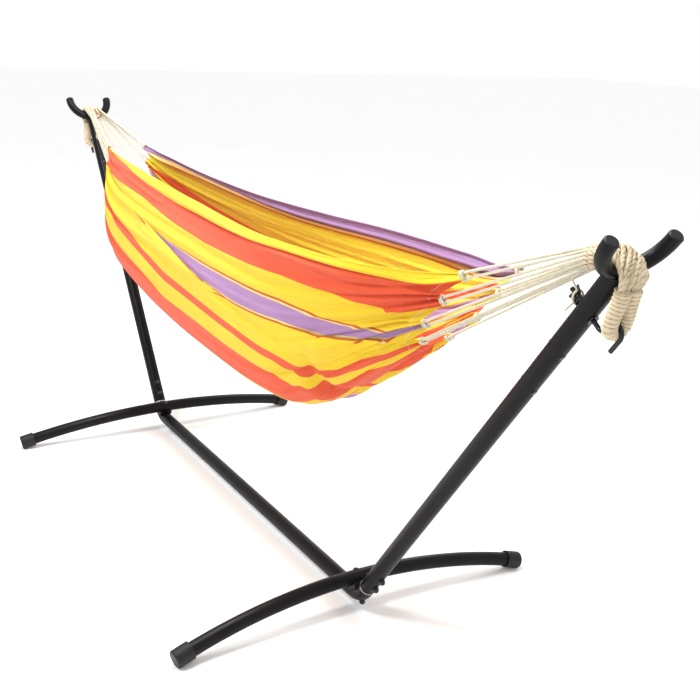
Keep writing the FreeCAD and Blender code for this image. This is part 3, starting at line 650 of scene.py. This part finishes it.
# Narrow creases: the line each follows (shares of the length, distances from the front selvage), depth
# (a ridge, if negative), half width, the shares where it starts and ends, and how softly it does so.
FRONT_CREASES = (
    (((0, 0.20), (0.58, 0.216), (0.70, 0.246), (0.77, 0.322), (1, 0.35)), 0.0045, 0.007, 0.56, 0.76, 0.04),
    (((0, 0.02), (1, 0.02)), -0.006, 0.014, 0.12, 0.97, 0.05),
    (((0, 0.012), (0.2, 0.015), (0.3, 0.033), (0.4, 0.038), (0.55, 0.034), (0.7, 0.022), (0.8, 0.024),
      (1, 0.036)), 0.009, 0.0042, 0.40, 0.93, 0.06),
    (((0, 0.012), (0.7, 0.030), (0.8, 0.040), (1, 0.060)), -0.004, 0.006, 0.60, 0.93, 0.06),
    (((0, 0.030), (0.27, 0.050), (0.33, 0.058), (1, 0.06)), -0.004, 0.006, 0.20, 0.36, 0.03),
)
# The same, but measured from the rear selvage.
REAR_CREASES = (
    (((0, 0.030), (0.4, 0.022), (0.5, 0.030), (0.7, 0.031), (1, 0.036)), 0.007, 0.0045, 0.42, 0.95, 0.06),
    (((0, 0.05), (0.4, 0.075), (1, 0.09)), 0.0022, 0.005, 0.15, 0.8, 0.06),
    (((0, 0.06), (0.4, 0.100), (1, 0.12)), 0.0022, 0.004, 0.25, 0.9, 0.06),
    (((0, 0.05), (0.5, 0.125), (1, 0.14)), 0.0025, 0.006, 0.1, 0.7, 0.06),
)
# Bulges (hollows, if negative): height, middle and half width along the cloth, and the same across it.
CORNER_BULGES = (
    (0.012, (0.80, 0.055), (0.265, 0.045)),
    (-0.018, (0.772, 0.012), (0.42, 0.11)),
    (0.010, (0.745, 0.018), (0.42, 0.10)),
)
BELLY_HOLLOW = (-0.014, (0.24, 0.17), (0.44, 0.16))    # across it in shares of the girth


def creases(rows, measure):
    total = np.zeros_like(across)
    for points, depth, width, start, end, fade in rows:
        window = ramped(start - fade, start + fade) * (1 - ramped(end - fade, end + fade))
        total += depth * window * bell(measure, track(points), width)
    return total


def bulge(height, along, sideways, measure):
    return height * bell(measure, *sideways) * bell(share, *along)


def fold_shape():
    """The long fold: cloth doubled under a lip, as offsets down the surface and out of it."""
    left_run = ramped(0.26, 0.38) * (1 - ramped(0.50, 0.60))
    right_run = ramped(0.70, 0.78) * (1 - ramped(0.93, 0.99))
    depth = FOLD_DEPTH * (left_run + 0.8 * right_run)
    start, end = FOLD_COLUMNS
    place = np.clip((np.arange(CROSSWISE) - start) / (end - start), 0, 1)[None, :]
    down = depth * np.sin(math.pi * place) - 0.12 * depth * np.exp(-((place - 1) / 0.15) ** 2)
    below = np.clip(across - fold_at[:, None] - FOLD_BAND / 2, 0, None)
    swell = place * place * (3 - 2 * place) * np.exp(-below / 0.045)
    out = depth * (0.34 * swell + 0.30 * np.exp(-((below - 0.022) / 0.02) ** 2) * (place >= 1))
    return down, out


def gather_pleats(reach):
    """Many narrow folds that start at one end and die away at different lengths."""
    total = np.zeros_like(across)
    for k in range(PLEATS):
        middle = (k + 0.5) / PLEATS + dice.uniform(-0.35, 0.35) / PLEATS
        width = dice.uniform(0.26, 0.42) / PLEATS
        length = dice.uniform(0.06, 0.30) if dice.random() < 0.7 else dice.uniform(0.3, 0.5)
        height = dice.uniform(0.0045, 0.0095) * (1 if k % 2 else -1)
        drift = dice.uniform(-0.02, 0.02)
        strength = np.exp(-(reach / length) ** 1.5) + 0.10 * np.exp(-reach / 0.8)
        total += height * strength * bell(girth_share, middle + drift * reach, width)
    return total


def broad_folds():
    """Soft folds along the whole bed, each waxing and waning along it."""
    total = np.zeros_like(across)
    for _ in range(BROAD_FOLDS):
        middle, height = dice.uniform(0.03, 0.97), dice.uniform(-0.005, 0.005)
        slant = dice.uniform(-0.08, 0.08)
        width = dice.uniform(0.012, 0.03)
        wave = share * dice.uniform(0.6, 1.4) + dice.random()
        total += (height * bell(girth_share, middle + slant * (share - 0.5), width)
                  * (0.5 + 0.5 * np.cos(2 * math.pi * wave)))
    return total


relief = gather_pleats(share) + gather_pleats(1 - share) + broad_folds()
relief -= creases(FRONT_CREASES, across) + creases(REAR_CREASES, from_rear)
relief += bulge(*BELLY_HOLLOW, girth_share) + sum(bulge(*row, across) for row in CORNER_BULGES)


# Each end's slack between neighbouring gathers, from the selvage down.
SLACK_EDGES = {"left": (0.018, 0.022, 0.018, 0.014), "right": (0.014, 0.045, 0.018, 0.014)}
TUFT_REACH, TUFT_HALF = 0.027, 0.0075
DRAW_LENGTH = 0.060


def drawn_ends(points):
    """Draws each end of the cloth into eight tufts, held by the cords, with slack scallops between."""
    for side, reach in (("left", share), ("right", 1 - share)):
        gathers = [np.array(gather) for gather in gathers_of(side)]
        aims = [np.array(cord_route(side, number)[1]) for number in range(len(gathers))]
        row = 0 if side == "left" else -1
        end, shares = base[row], girth_share[row]
        places = [shares[int(np.argmin(np.linalg.norm(end - gather, axis=1)))] for gather in gathers]
        slacks = list(SLACK_EDGES[side]) + list(reversed(SLACK_EDGES[side][:3])) + [0.0]
        drawn = np.zeros((CROSSWISE, 3))
        for column, q in enumerate(shares):
            number = int(np.argmin([abs(q - place) for place in places]))
            gather, aim = gathers[number], aims[number]
            other = number + (1 if q > places[number] else -1)
            if 0 <= other < len(gathers):
                beside = gathers[other]
                from_tuft = abs(q - places[number]) / (0.5 * abs(places[other] - places[number]))
                slack = slacks[min(number, other)]
                middle = (gather + beside) / 2 - aim * slack + np.array((0, 0, -0.3 * slack))
            else:
                beside = gather * 2 - gathers[number - other + number]
                from_tuft, middle = abs(q - places[number]) / 0.03 * 0.4, gather
            along_edge = (beside - gather) * (1 if other > number else -1)
            along_edge -= aim * along_edge.dot(aim)
            along_edge /= np.linalg.norm(along_edge)
            offset = from_tuft * (1 if other > number else -1)
            ripple = 0.0036 * math.cos(9 * offset + number) * np.cross(aim, along_edge)
            sideways = TUFT_HALF * max(-1, min(1, offset * 1.6))
            tuft = gather + aim * TUFT_REACH + along_edge * sideways + ripple
            t = min(1.0, max(0.0, (from_tuft - 0.62) / 0.38))
            t = t * t * (3 - 2 * t)
            drawn[column] = tuft * (1 - t) + middle * t
        strength = np.exp(-(reach * CLOTH_SPAN / DRAW_LENGTH) ** 1.15)[..., None]
        points = points + strength * (drawn - end)[None, :, :]
    return points


def surface_normals(points):
    lengthwise = np.gradient(points, axis=0)
    crosswise = np.gradient(points, axis=1)
    normals = np.cross(lengthwise, crosswise)
    normals /= np.linalg.norm(normals, axis=2)[..., None]
    return normals


outward = surface_normals(base)
middle_row = LENGTHWISE // 2
if outward[middle_row, CROSSWISE // 2, 2] > 0:
    outward = -outward
near_end = np.exp(-(np.minimum(share, 1 - share) * CLOTH_SPAN / 0.03) ** 1.2)
far_drop = 0.007 * bell(from_rear, 0, 0.022) * ramped(0.15, 0.3) * (1 - ramped(0.85, 0.97))
downward = np.gradient(base, axis=1)
downward /= np.linalg.norm(downward, axis=2)[..., None]
fold_down, fold_out = fold_shape()
cloth_points = (base + (relief * (1 - 0.5 * near_end) + fold_out)[..., None] * outward
                + fold_down[..., None] * downward)
cloth_points[..., 2] -= far_drop
cloth_points = drawn_ends(cloth_points)
CLOTH_FACES = [(a, a + 1, a + CROSSWISE + 1, a + CROSSWISE)
               for row in range(LENGTHWISE - 1) for a in range(row * CROSSWISE, (row + 1) * CROSSWISE - 1)]
bed = mesh_object("hammock_cloth", cloth_points.reshape(-1, 3), CLOTH_FACES, CLOTH)
fabric_across = fabric_place()
add_attribute(bed, "across", fabric_across.reshape(-1))
weave = bed.data.uv_layers.new(name="weave")
corner_vertices = np.empty(len(bed.data.loops), dtype=np.int32)
bed.data.loops.foreach_get("vertex_index", corner_vertices)
flat_place = np.stack([(share * CLOTH_LENGTH).reshape(-1), fabric_across.reshape(-1)], axis=1)
weave.data.foreach_set("uv", flat_place[corner_vertices].astype(np.float32).reshape(-1))
skin = bed.modifiers.new("skin", "SOLIDIFY")
skin.thickness = CLOTH_THICKNESS
skin.offset = 0.0
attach(bed, "hammock")
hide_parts("hammock_bed")


WRAP_TURNS, WRAP_STEPS, WRAP_WIRE = 2, 20, 0.0027
WRAP_START, WRAP_PITCH = -0.006, 0.0052
WRAP_HALF_WIDTH, WRAP_HALF_HEIGHT = 0.0098, 0.0062
HEM_ROWS_IN = 16
STITCH_RADIUS, STITCH_LIFT = 0.0004, 0.0009


def wrap_path(side, number):
    """Turns of cord tied round a tuft and the bight that holds it."""
    route, aim = cord_route(side, number)
    aim = np.array(aim)
    low, high = np.array(route[2]), np.array(route[3])
    across_bight = (high - low) / np.linalg.norm(high - low)
    normal = np.cross(aim, across_bight)
    middle = (low + high) / 2
    path = []
    for k in range(WRAP_TURNS * WRAP_STEPS + 1):
        angle = 2 * math.pi * k / WRAP_STEPS
        path.append(middle + aim * (WRAP_START + WRAP_PITCH * k / WRAP_STEPS)
                    + across_bight * WRAP_HALF_WIDTH * math.cos(angle)
                    + normal * WRAP_HALF_HEIGHT * math.sin(angle))
    return np.array(path)


def stitch_path(end):
    """A zigzag of thread across the cloth, near one end."""
    row = HEM_ROWS_IN if end == "left" else LENGTHWISE - 1 - HEM_ROWS_IN
    step = 1 if end == "left" else -1
    path = []
    columns = [column for column in range(3, CROSSWISE - 3, 2)
               if not FOLD_COLUMNS[0] - 4 < column < FOLD_COLUMNS[1] + 4]
    for k, column in enumerate(columns):
        here = cloth_points[row + (2 * step if k % 2 else 0), column]
        path.append(here + outward[row, column] * STITCH_LIFT)
    return np.array(path)


for side in ("left", "right"):
    turns = [(wrap_path(side, number), twisted(WRAP_WIRE, 3, 0.012, 0.2)) for number in range(8)]
    wraps = tubes_object("gather_wraps_" + side, turns, CORD_COTTON, 10)
    stitches = tubes_object("hem_stitch_" + side, [(stitch_path(side), plain(STITCH_RADIUS))],
                            SEAM_THREAD, 5)
    for piece, slot in ((wraps, "cotton_cord"), (stitches, "striped_cloth")):
        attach(piece, "hammock")


# ---------- stand ----------

for name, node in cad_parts.items():
    if name.startswith(("foot_cap", "leg_saddle", "cradle_plugs")):
        material = BLACK_PLASTIC
    elif name.startswith("seam_ring"):
        material = ZINC
    elif name.startswith("rope_hook"):
        material = BLACK_GLOSS
    elif "bolt" in name or "nut" in name:
        material = BLACK_BOLT
    else:
        material = BLACK_TUBE
    node.data.materials.clear()
    node.data.materials.append(material)

LEAN = math.radians(36)
ALONG = Vector((math.sin(LEAN), 0, math.cos(LEAN)))
OUTWARD = Vector((math.cos(LEAN), 0, -math.sin(LEAN)))
CORNER = Vector((0.709, 0, 0.042))
CRADLE = CORNER + ALONG * 1.272
HALF_TURN_ABOUT_Z = {"right": Matrix.Identity(3), "left": Matrix.Rotation(math.pi, 3, "Z")}
HOOK_PLACE = 1.165
LOOP_SLOPE = math.radians(25)
LOOP_OVER, LOOP_GAP, LOOP_RADIUS = 0.033, 0.0175, 0.012
BUNCH_TWIST = 2.2
BUNCH_PLY_RADIUS = 0.0043
CRADLE_BEND, BUNCH_OVER = 0.0745, 0.0228
WHIP_RADIUS, WHIP_PITCH, WHIP_DEPTH = LOOP_RADIUS + 0.0022, 0.0078, 0.0040


def loop_points():
    """The right loop in the XZ plane: where it leaves the cradle, its eye, and the angles it wraps."""
    eye = CORNER + ALONG * (HOOK_PLACE + 0.023) + OUTWARD * 0.069
    to_eye = eye - CRADLE
    drop = math.atan2(to_eye.z, to_eye.x) + math.acos(LOOP_OVER / to_eye.length)
    leave = CRADLE + Vector((math.cos(drop), 0, math.sin(drop))) * LOOP_OVER
    return leave, eye, math.pi / 2 + LOOP_SLOPE, drop


def bunch_paths():
    """The cords over the cradle, twisted together and flattened by it, down into the whipped strands."""
    leave, eye, first, last = loop_points()
    down = (eye - leave).normalized()
    starts = [(end, 1.0) for number in range(8) for end in neck_ends("right", number)]
    core = Vector((NECK_X, 0, SWING_HEIGHT))
    starts += [(core + (end - core) * 0.5, 0.5) for end, _ in starts[::2]]
    paths = []
    for end, size in starts:
        angle = math.atan2((end.z - SWING_HEIGHT) / NECK_HALF_HEIGHT, end.y / NECK_HALF_WIDTH)
        path = [end]
        turn = dice.uniform(-0.2, 0.2)
        lift = dice.uniform(-0.0012, 0.0022)
        for step in range(1, 11):
            over = step / 10
            place = first + (last - first) * over
            twist = angle + BUNCH_TWIST * over + turn
            flat = min(1.0, over * 3.2)
            half_width = size * (0.024 + 0.006 * flat)
            half_height = size * (0.020 - 0.0148 * flat)
            lower = (LOOP_OVER - BUNCH_OVER) * flat * (1 - max(0.0, (over - 0.8) / 0.2))
            radial = LOOP_OVER - lower + lift + half_height * math.sin(twist)
            aside = half_width * math.cos(twist)
            rise = CRADLE_BEND - math.sqrt(CRADLE_BEND ** 2 - aside ** 2)
            path.append(CRADLE + Vector((math.cos(place), 0, math.sin(place))) * radial
                        + Vector((0, aside, 0)) + ALONG * rise)
        strand = 1 if path[-1].y > 0 else -1
        inner = Vector((0, strand * LOOP_GAP * 0.82, 0))
        tail = leave + down * 0.026
        spread_out = path[-1] - leave - inner
        path.append(tail + inner + spread_out * 0.4)
        path.append(tail + down * 0.014 + inner + spread_out * 0.2)
        paths.append(path)
    return paths


def whipped_path():
    """The whipped strands' centre line: down one side, round the eye and up the other."""
    leave, eye, _, _ = loop_points()
    down = (eye - leave).normalized()
    turn_start = eye - down * LOOP_GAP
    start = leave + down * 0.020
    straight = [start + (turn_start - start) * (k / 12) for k in range(13)]

    def gap(k):
        # The strands lean together near the top and open round the hook.
        return LOOP_GAP * (0.70 + 0.30 * min(1.0, k / 9) ** 2)
    front = [point + Vector((0, -gap(k), 0)) for k, point in enumerate(straight)]
    rear = [point + Vector((0, gap(k), 0)) for k, point in enumerate(straight)]
    turn = [turn_start + Vector((0, -LOOP_GAP * math.cos(a), 0)) + down * (LOOP_GAP * math.sin(a))
            for a in (math.pi * k / 16 for k in range(1, 16))]
    return front + turn + list(reversed(rear))


def whipping(radius, pitch, depth, total):
    """Turns of cord wound round a strand: ridges that climb it, a little uneven, thicker at its ends."""
    wobble = noise_dice.uniform(-0.5, 0.5, 400)

    def radius_at(length, angles):
        turns = length / pitch - angles / (2 * math.pi)
        uneven = np.interp(turns % 400, np.arange(400), wobble)
        ply = np.abs(np.sin(math.pi * turns)) ** 0.6
        thick = radius + 0.0024 * math.exp(-min(length, total - length) / 0.030)
        return thick * (1 + 0.05 * uneven) - depth * (1 - ply), ply
    return radius_at


def turned(points, side):
    return [HALF_TURN_ABOUT_Z[side] @ Vector(point) for point in points]


for side in ("right", "left"):
    strand_path = resampled([tuple(p) for p in turned(whipped_path(), side)], 0.00125)
    winding = whipping(WHIP_RADIUS, WHIP_PITCH, WHIP_DEPTH, path_lengths(strand_path)[-1])
    whip = tubes_object("whipping_" + side, [(strand_path, winding)], WHIP_COTTON, 28)
    jobs = []
    for path in bunch_paths():
        smooth = resampled(nurbs_path(turned(path, side)), 0.0022)
        jobs.append((smooth, twisted(BUNCH_PLY_RADIUS, 2, 0.026, 0.30, dice.random() * 6)))
    bunch = tubes_object("rope_bunch_" + side, jobs, WHIP_COTTON, 12)
    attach(whip, "stand")
    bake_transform(bunch)
    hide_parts("end_loop_" + side)


# ---------- bolts, welds and ties ----------

class Shape:
    """Rings of points joined into closed skins, gathered into one mesh."""

    def __init__(self, origin, axis):
        self.turn = Vector(axis).normalized().to_track_quat("Z", "Y").to_matrix()
        self.origin = Vector(origin)
        self.vertices, self.faces = [], []

    def skin(self, rings):
        """Each ring is (distance along the axis, radius at an angle)."""
        around = 36
        first = len(self.vertices)
        for along, radius_at in rings:
            for k in range(around):
                angle = 2 * math.pi * k / around
                radius = radius_at(angle)
                place = Vector((radius * math.cos(angle), radius * math.sin(angle), along))
                self.vertices.append(self.turn @ place + self.origin)
        for ring in range(len(rings) - 1):
            for k in range(around):
                after = (k + 1) % around
                low = first + ring * around
                self.faces.append((low + k, low + after, low + around + after, low + around + k))
        last = first + (len(rings) - 1) * around
        self.faces.append(tuple(range(first + around - 1, first - 1, -1)))
        self.faces.append(tuple(range(last, last + around)))

    def turned_skin(self, profile):
        self.skin([(along, lambda angle, radius=radius: radius) for along, radius in profile])

    def hex_skin(self, start, corner, height):
        """A nut with its corners turned down at both faces."""
        flat = corner * math.cos(math.pi / 6)

        def hexagon(limit):
            def radius_at(angle):
                within = (angle + math.pi / 6) % (math.pi / 3) - math.pi / 6
                return min(flat / math.cos(within), limit)
            return radius_at
        self.skin([(start, hexagon(flat * 0.96)), (start + 0.0007, hexagon(corner * 0.985)),
                   (start + height * 0.5, hexagon(corner)),
                   (start + height - 0.0007, hexagon(corner * 0.985)),
                   (start + height, hexagon(flat * 0.96))])


BOLT_RADIUS, HEAD_RADIUS, HEAD_HEIGHT = 0.004, 0.0075, 0.0042
WASHER_RADIUS, WASHER_THICKNESS = 0.009, 0.0015
NUT_CORNER, NUT_THICKNESS, BOLT_TAIL = 0.0074, 0.0065, 0.0025


def bolt_object(name, bolts):
    """Domed bolts with washers, chamfered nuts and threaded tails; bolts are (middle, direction, grip)."""
    vertices, faces = [], []
    for middle, direction, grip in bolts:
        shape = Shape(middle, direction)
        seat = grip + 0.0001
        dome = [(-seat - HEAD_HEIGHT * math.sin(a), max(0.0003, HEAD_RADIUS * math.cos(a)))
                for a in (math.radians(88 - 8 * k) for k in range(12))]
        shape.turned_skin(dome + [(-seat, BOLT_RADIUS), (seat, BOLT_RADIUS)])
        shape.turned_skin([(seat, WASHER_RADIUS - 0.0003), (seat + 0.0002, WASHER_RADIUS),
                           (seat + WASHER_THICKNESS - 0.0002, WASHER_RADIUS),
                           (seat + WASHER_THICKNESS, WASHER_RADIUS - 0.0003)])
        nut = seat + WASHER_THICKNESS
        shape.hex_skin(nut, NUT_CORNER, NUT_THICKNESS)
        thread = [(nut + NUT_THICKNESS - 0.0006 + 0.0004 * k, BOLT_RADIUS - (0.0004 if k % 2 else 0.0))
                  for k in range(7)]
        shape.turned_skin(thread + [(nut + NUT_THICKNESS + BOLT_TAIL, BOLT_RADIUS - 0.001)])
        faces += [tuple(index + len(vertices) for index in face) for face in shape.faces]
        vertices += shape.vertices
    piece = mesh_object(name, vertices, faces, BLACK_BOLT)
    edges = piece.modifiers.new("edges", "EDGE_SPLIT")
    edges.split_angle = math.radians(32)
    return piece


HALF_TURN = math.radians(27)
INWARD = Vector((-math.sin(HALF_TURN), 0, math.cos(HALF_TURN)))
BEND_MIDDLE = CORNER + INWARD * 0.0088
TUBE_RADIUS, LEG_RADIUS, LEG_OFFSET, CRADLE_RADIUS = 0.021, 0.019, 0.0416, 0.0145
RIGHT_BOLTS = {
    "leg_bolt": [(BEND_MIDDLE + INWARD * ((LEG_OFFSET + LEG_RADIUS - TUBE_RADIUS) / 2), -INWARD,
                  (LEG_OFFSET + LEG_RADIUS + TUBE_RADIUS) / 2)],
    "arm_base_bolts": [(CORNER + ALONG * place, OUTWARD, TUBE_RADIUS) for place in (0.082, 0.126)],
}


def weld_path():
    """Where the cradle tube lies across the arm's top, all the way round the arm."""
    path = []
    for k in range(73):
        angle = 2 * math.pi * k / 72
        outward_part, side_part = TUBE_RADIUS * math.cos(angle), TUBE_RADIUS * math.sin(angle)
        depth = math.sqrt(max(0.0, CRADLE_RADIUS ** 2 - min(abs(outward_part), CRADLE_RADIUS * 0.9) ** 2))
        drop = CRADLE_BEND - math.sqrt((CRADLE_BEND + depth) ** 2 - side_part ** 2)
        drop = max(drop, -0.0125)
        path.append(CRADLE + ALONG * drop + OUTWARD * outward_part + Vector((0, side_part, 0)))
    return path


def beaded(radius, pitch):
    def radius_at(length, angles):
        bead = radius * (0.8 + 0.2 * abs(math.sin(math.pi * length / pitch)))
        return np.full(len(angles), bead), np.ones(len(angles))
    return radius_at


TIE_RADIUS = 0.002


def tie_route():
    """A thin string from under the cords' neck, round the hook's inner end."""
    rod = CORNER + ALONG * HOOK_PLACE - OUTWARD * 0.031
    route = [Vector((1.384, -0.012, 1.057)), Vector((1.375, -0.015, 1.047)),
             Vector((1.361, -0.017, 1.040))]
    for k in range(15):
        angle = math.radians(100 + 45 * k)
        radius = 0.0135 + 0.0008 * math.sin(2.1 * k)
        route.append(rod + Vector((0, radius * math.cos(angle), radius * math.sin(angle)))
                     - OUTWARD * (0.0002 * k + 0.0015 * math.sin(k)))
    return route + [rod + Vector((-0.004, -0.018, -0.016)), rod + Vector((-0.010, -0.020, -0.024))]


for side in ("right", "left"):
    for stem, bolts in RIGHT_BOLTS.items():
        placed = [(turned([middle], side)[0], HALF_TURN_ABOUT_Z[side] @ direction, grip)
                  for middle, direction, grip in bolts]
        fasteners = bolt_object(f"{stem}_set_{side}", placed)
        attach(fasteners, "stand")
        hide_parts(f"{stem}_{side}")
    seam = resampled(turned(weld_path(), side), 0.0012)
    weld = tubes_object("cradle_weld_" + side, [(seam, beaded(0.0024, 0.0042))], BLACK_TUBE, 10)
    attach(weld, "stand")
    tie = resampled(nurbs_path(turned(tie_route(), side)), 0.0014)
    plies = twisted(TIE_RADIUS, 3, 0.010, 0.2)
    string = tubes_object("hook_tie_" + side, [(tie, plies)], CORD_COTTON, 10)
    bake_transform(string)


# ---------- floor, light ----------

FLOOR_HALF, FLOOR_DROP = 30, 0.0005


def build_floor():
    corners = [(x * FLOOR_HALF, y * FLOOR_HALF, -FLOOR_DROP)
               for x, y in ((-1, -1), (1, -1), (1, 1), (-1, 1))]
    floor = mesh_object("floor", corners, [(0, 1, 2, 3)], None)
    shader = Shader("floor_paper")
    tint = shader.ramp(shader.noise(2), "Fac", [(0.3, grey(0.95)), (0.7, grey(0.97))])
    shader.link(tint, "Color", shader.surface, "Base Color")
    shader.set(Roughness=0.9, Specular_IOR_Level=0.1)
    floor.data.materials.clear()
    floor.data.materials.append(shader.material)


def area_light(name, place, target, side, power, colour=(1, 1, 1)):
    data = bpy.data.lights.new(name, "AREA")
    data.shape = "DISK"
    data.size = side
    data.energy = power
    data.color = colour
    light = bpy.data.objects.new(name, data)
    light.location = place
    light.rotation_euler = (Vector(target) - Vector(place)).to_track_quat("-Z", "Y").to_euler()
    scene.collection.objects.link(light)


build_floor()
world = bpy.data.worlds.new("sky")
world.use_nodes = True
world.node_tree.nodes["Background"].inputs["Color"].default_value = (1, 1, 1, 1)
world.node_tree.nodes["Background"].inputs["Strength"].default_value = 1.0
scene.world = world
area_light("key", (0.4, -3.0, 4.6), (0, 0, 0.7), 1.0, 122, (1.0, 0.985, 0.96))
area_light("bed_left", (-0.5, -0.12, 2.4), (-0.5, 0.10, 0.8), 0.7, 26)
area_light("bed_right", (0.5, -0.12, 2.4), (0.5, 0.10, 0.8), 0.7, 30)
area_light("back", (-2.6, 3.4, 3.6), (0, 0, 0.8), 1.6, 60)
scene.view_settings.view_transform = "Standard"
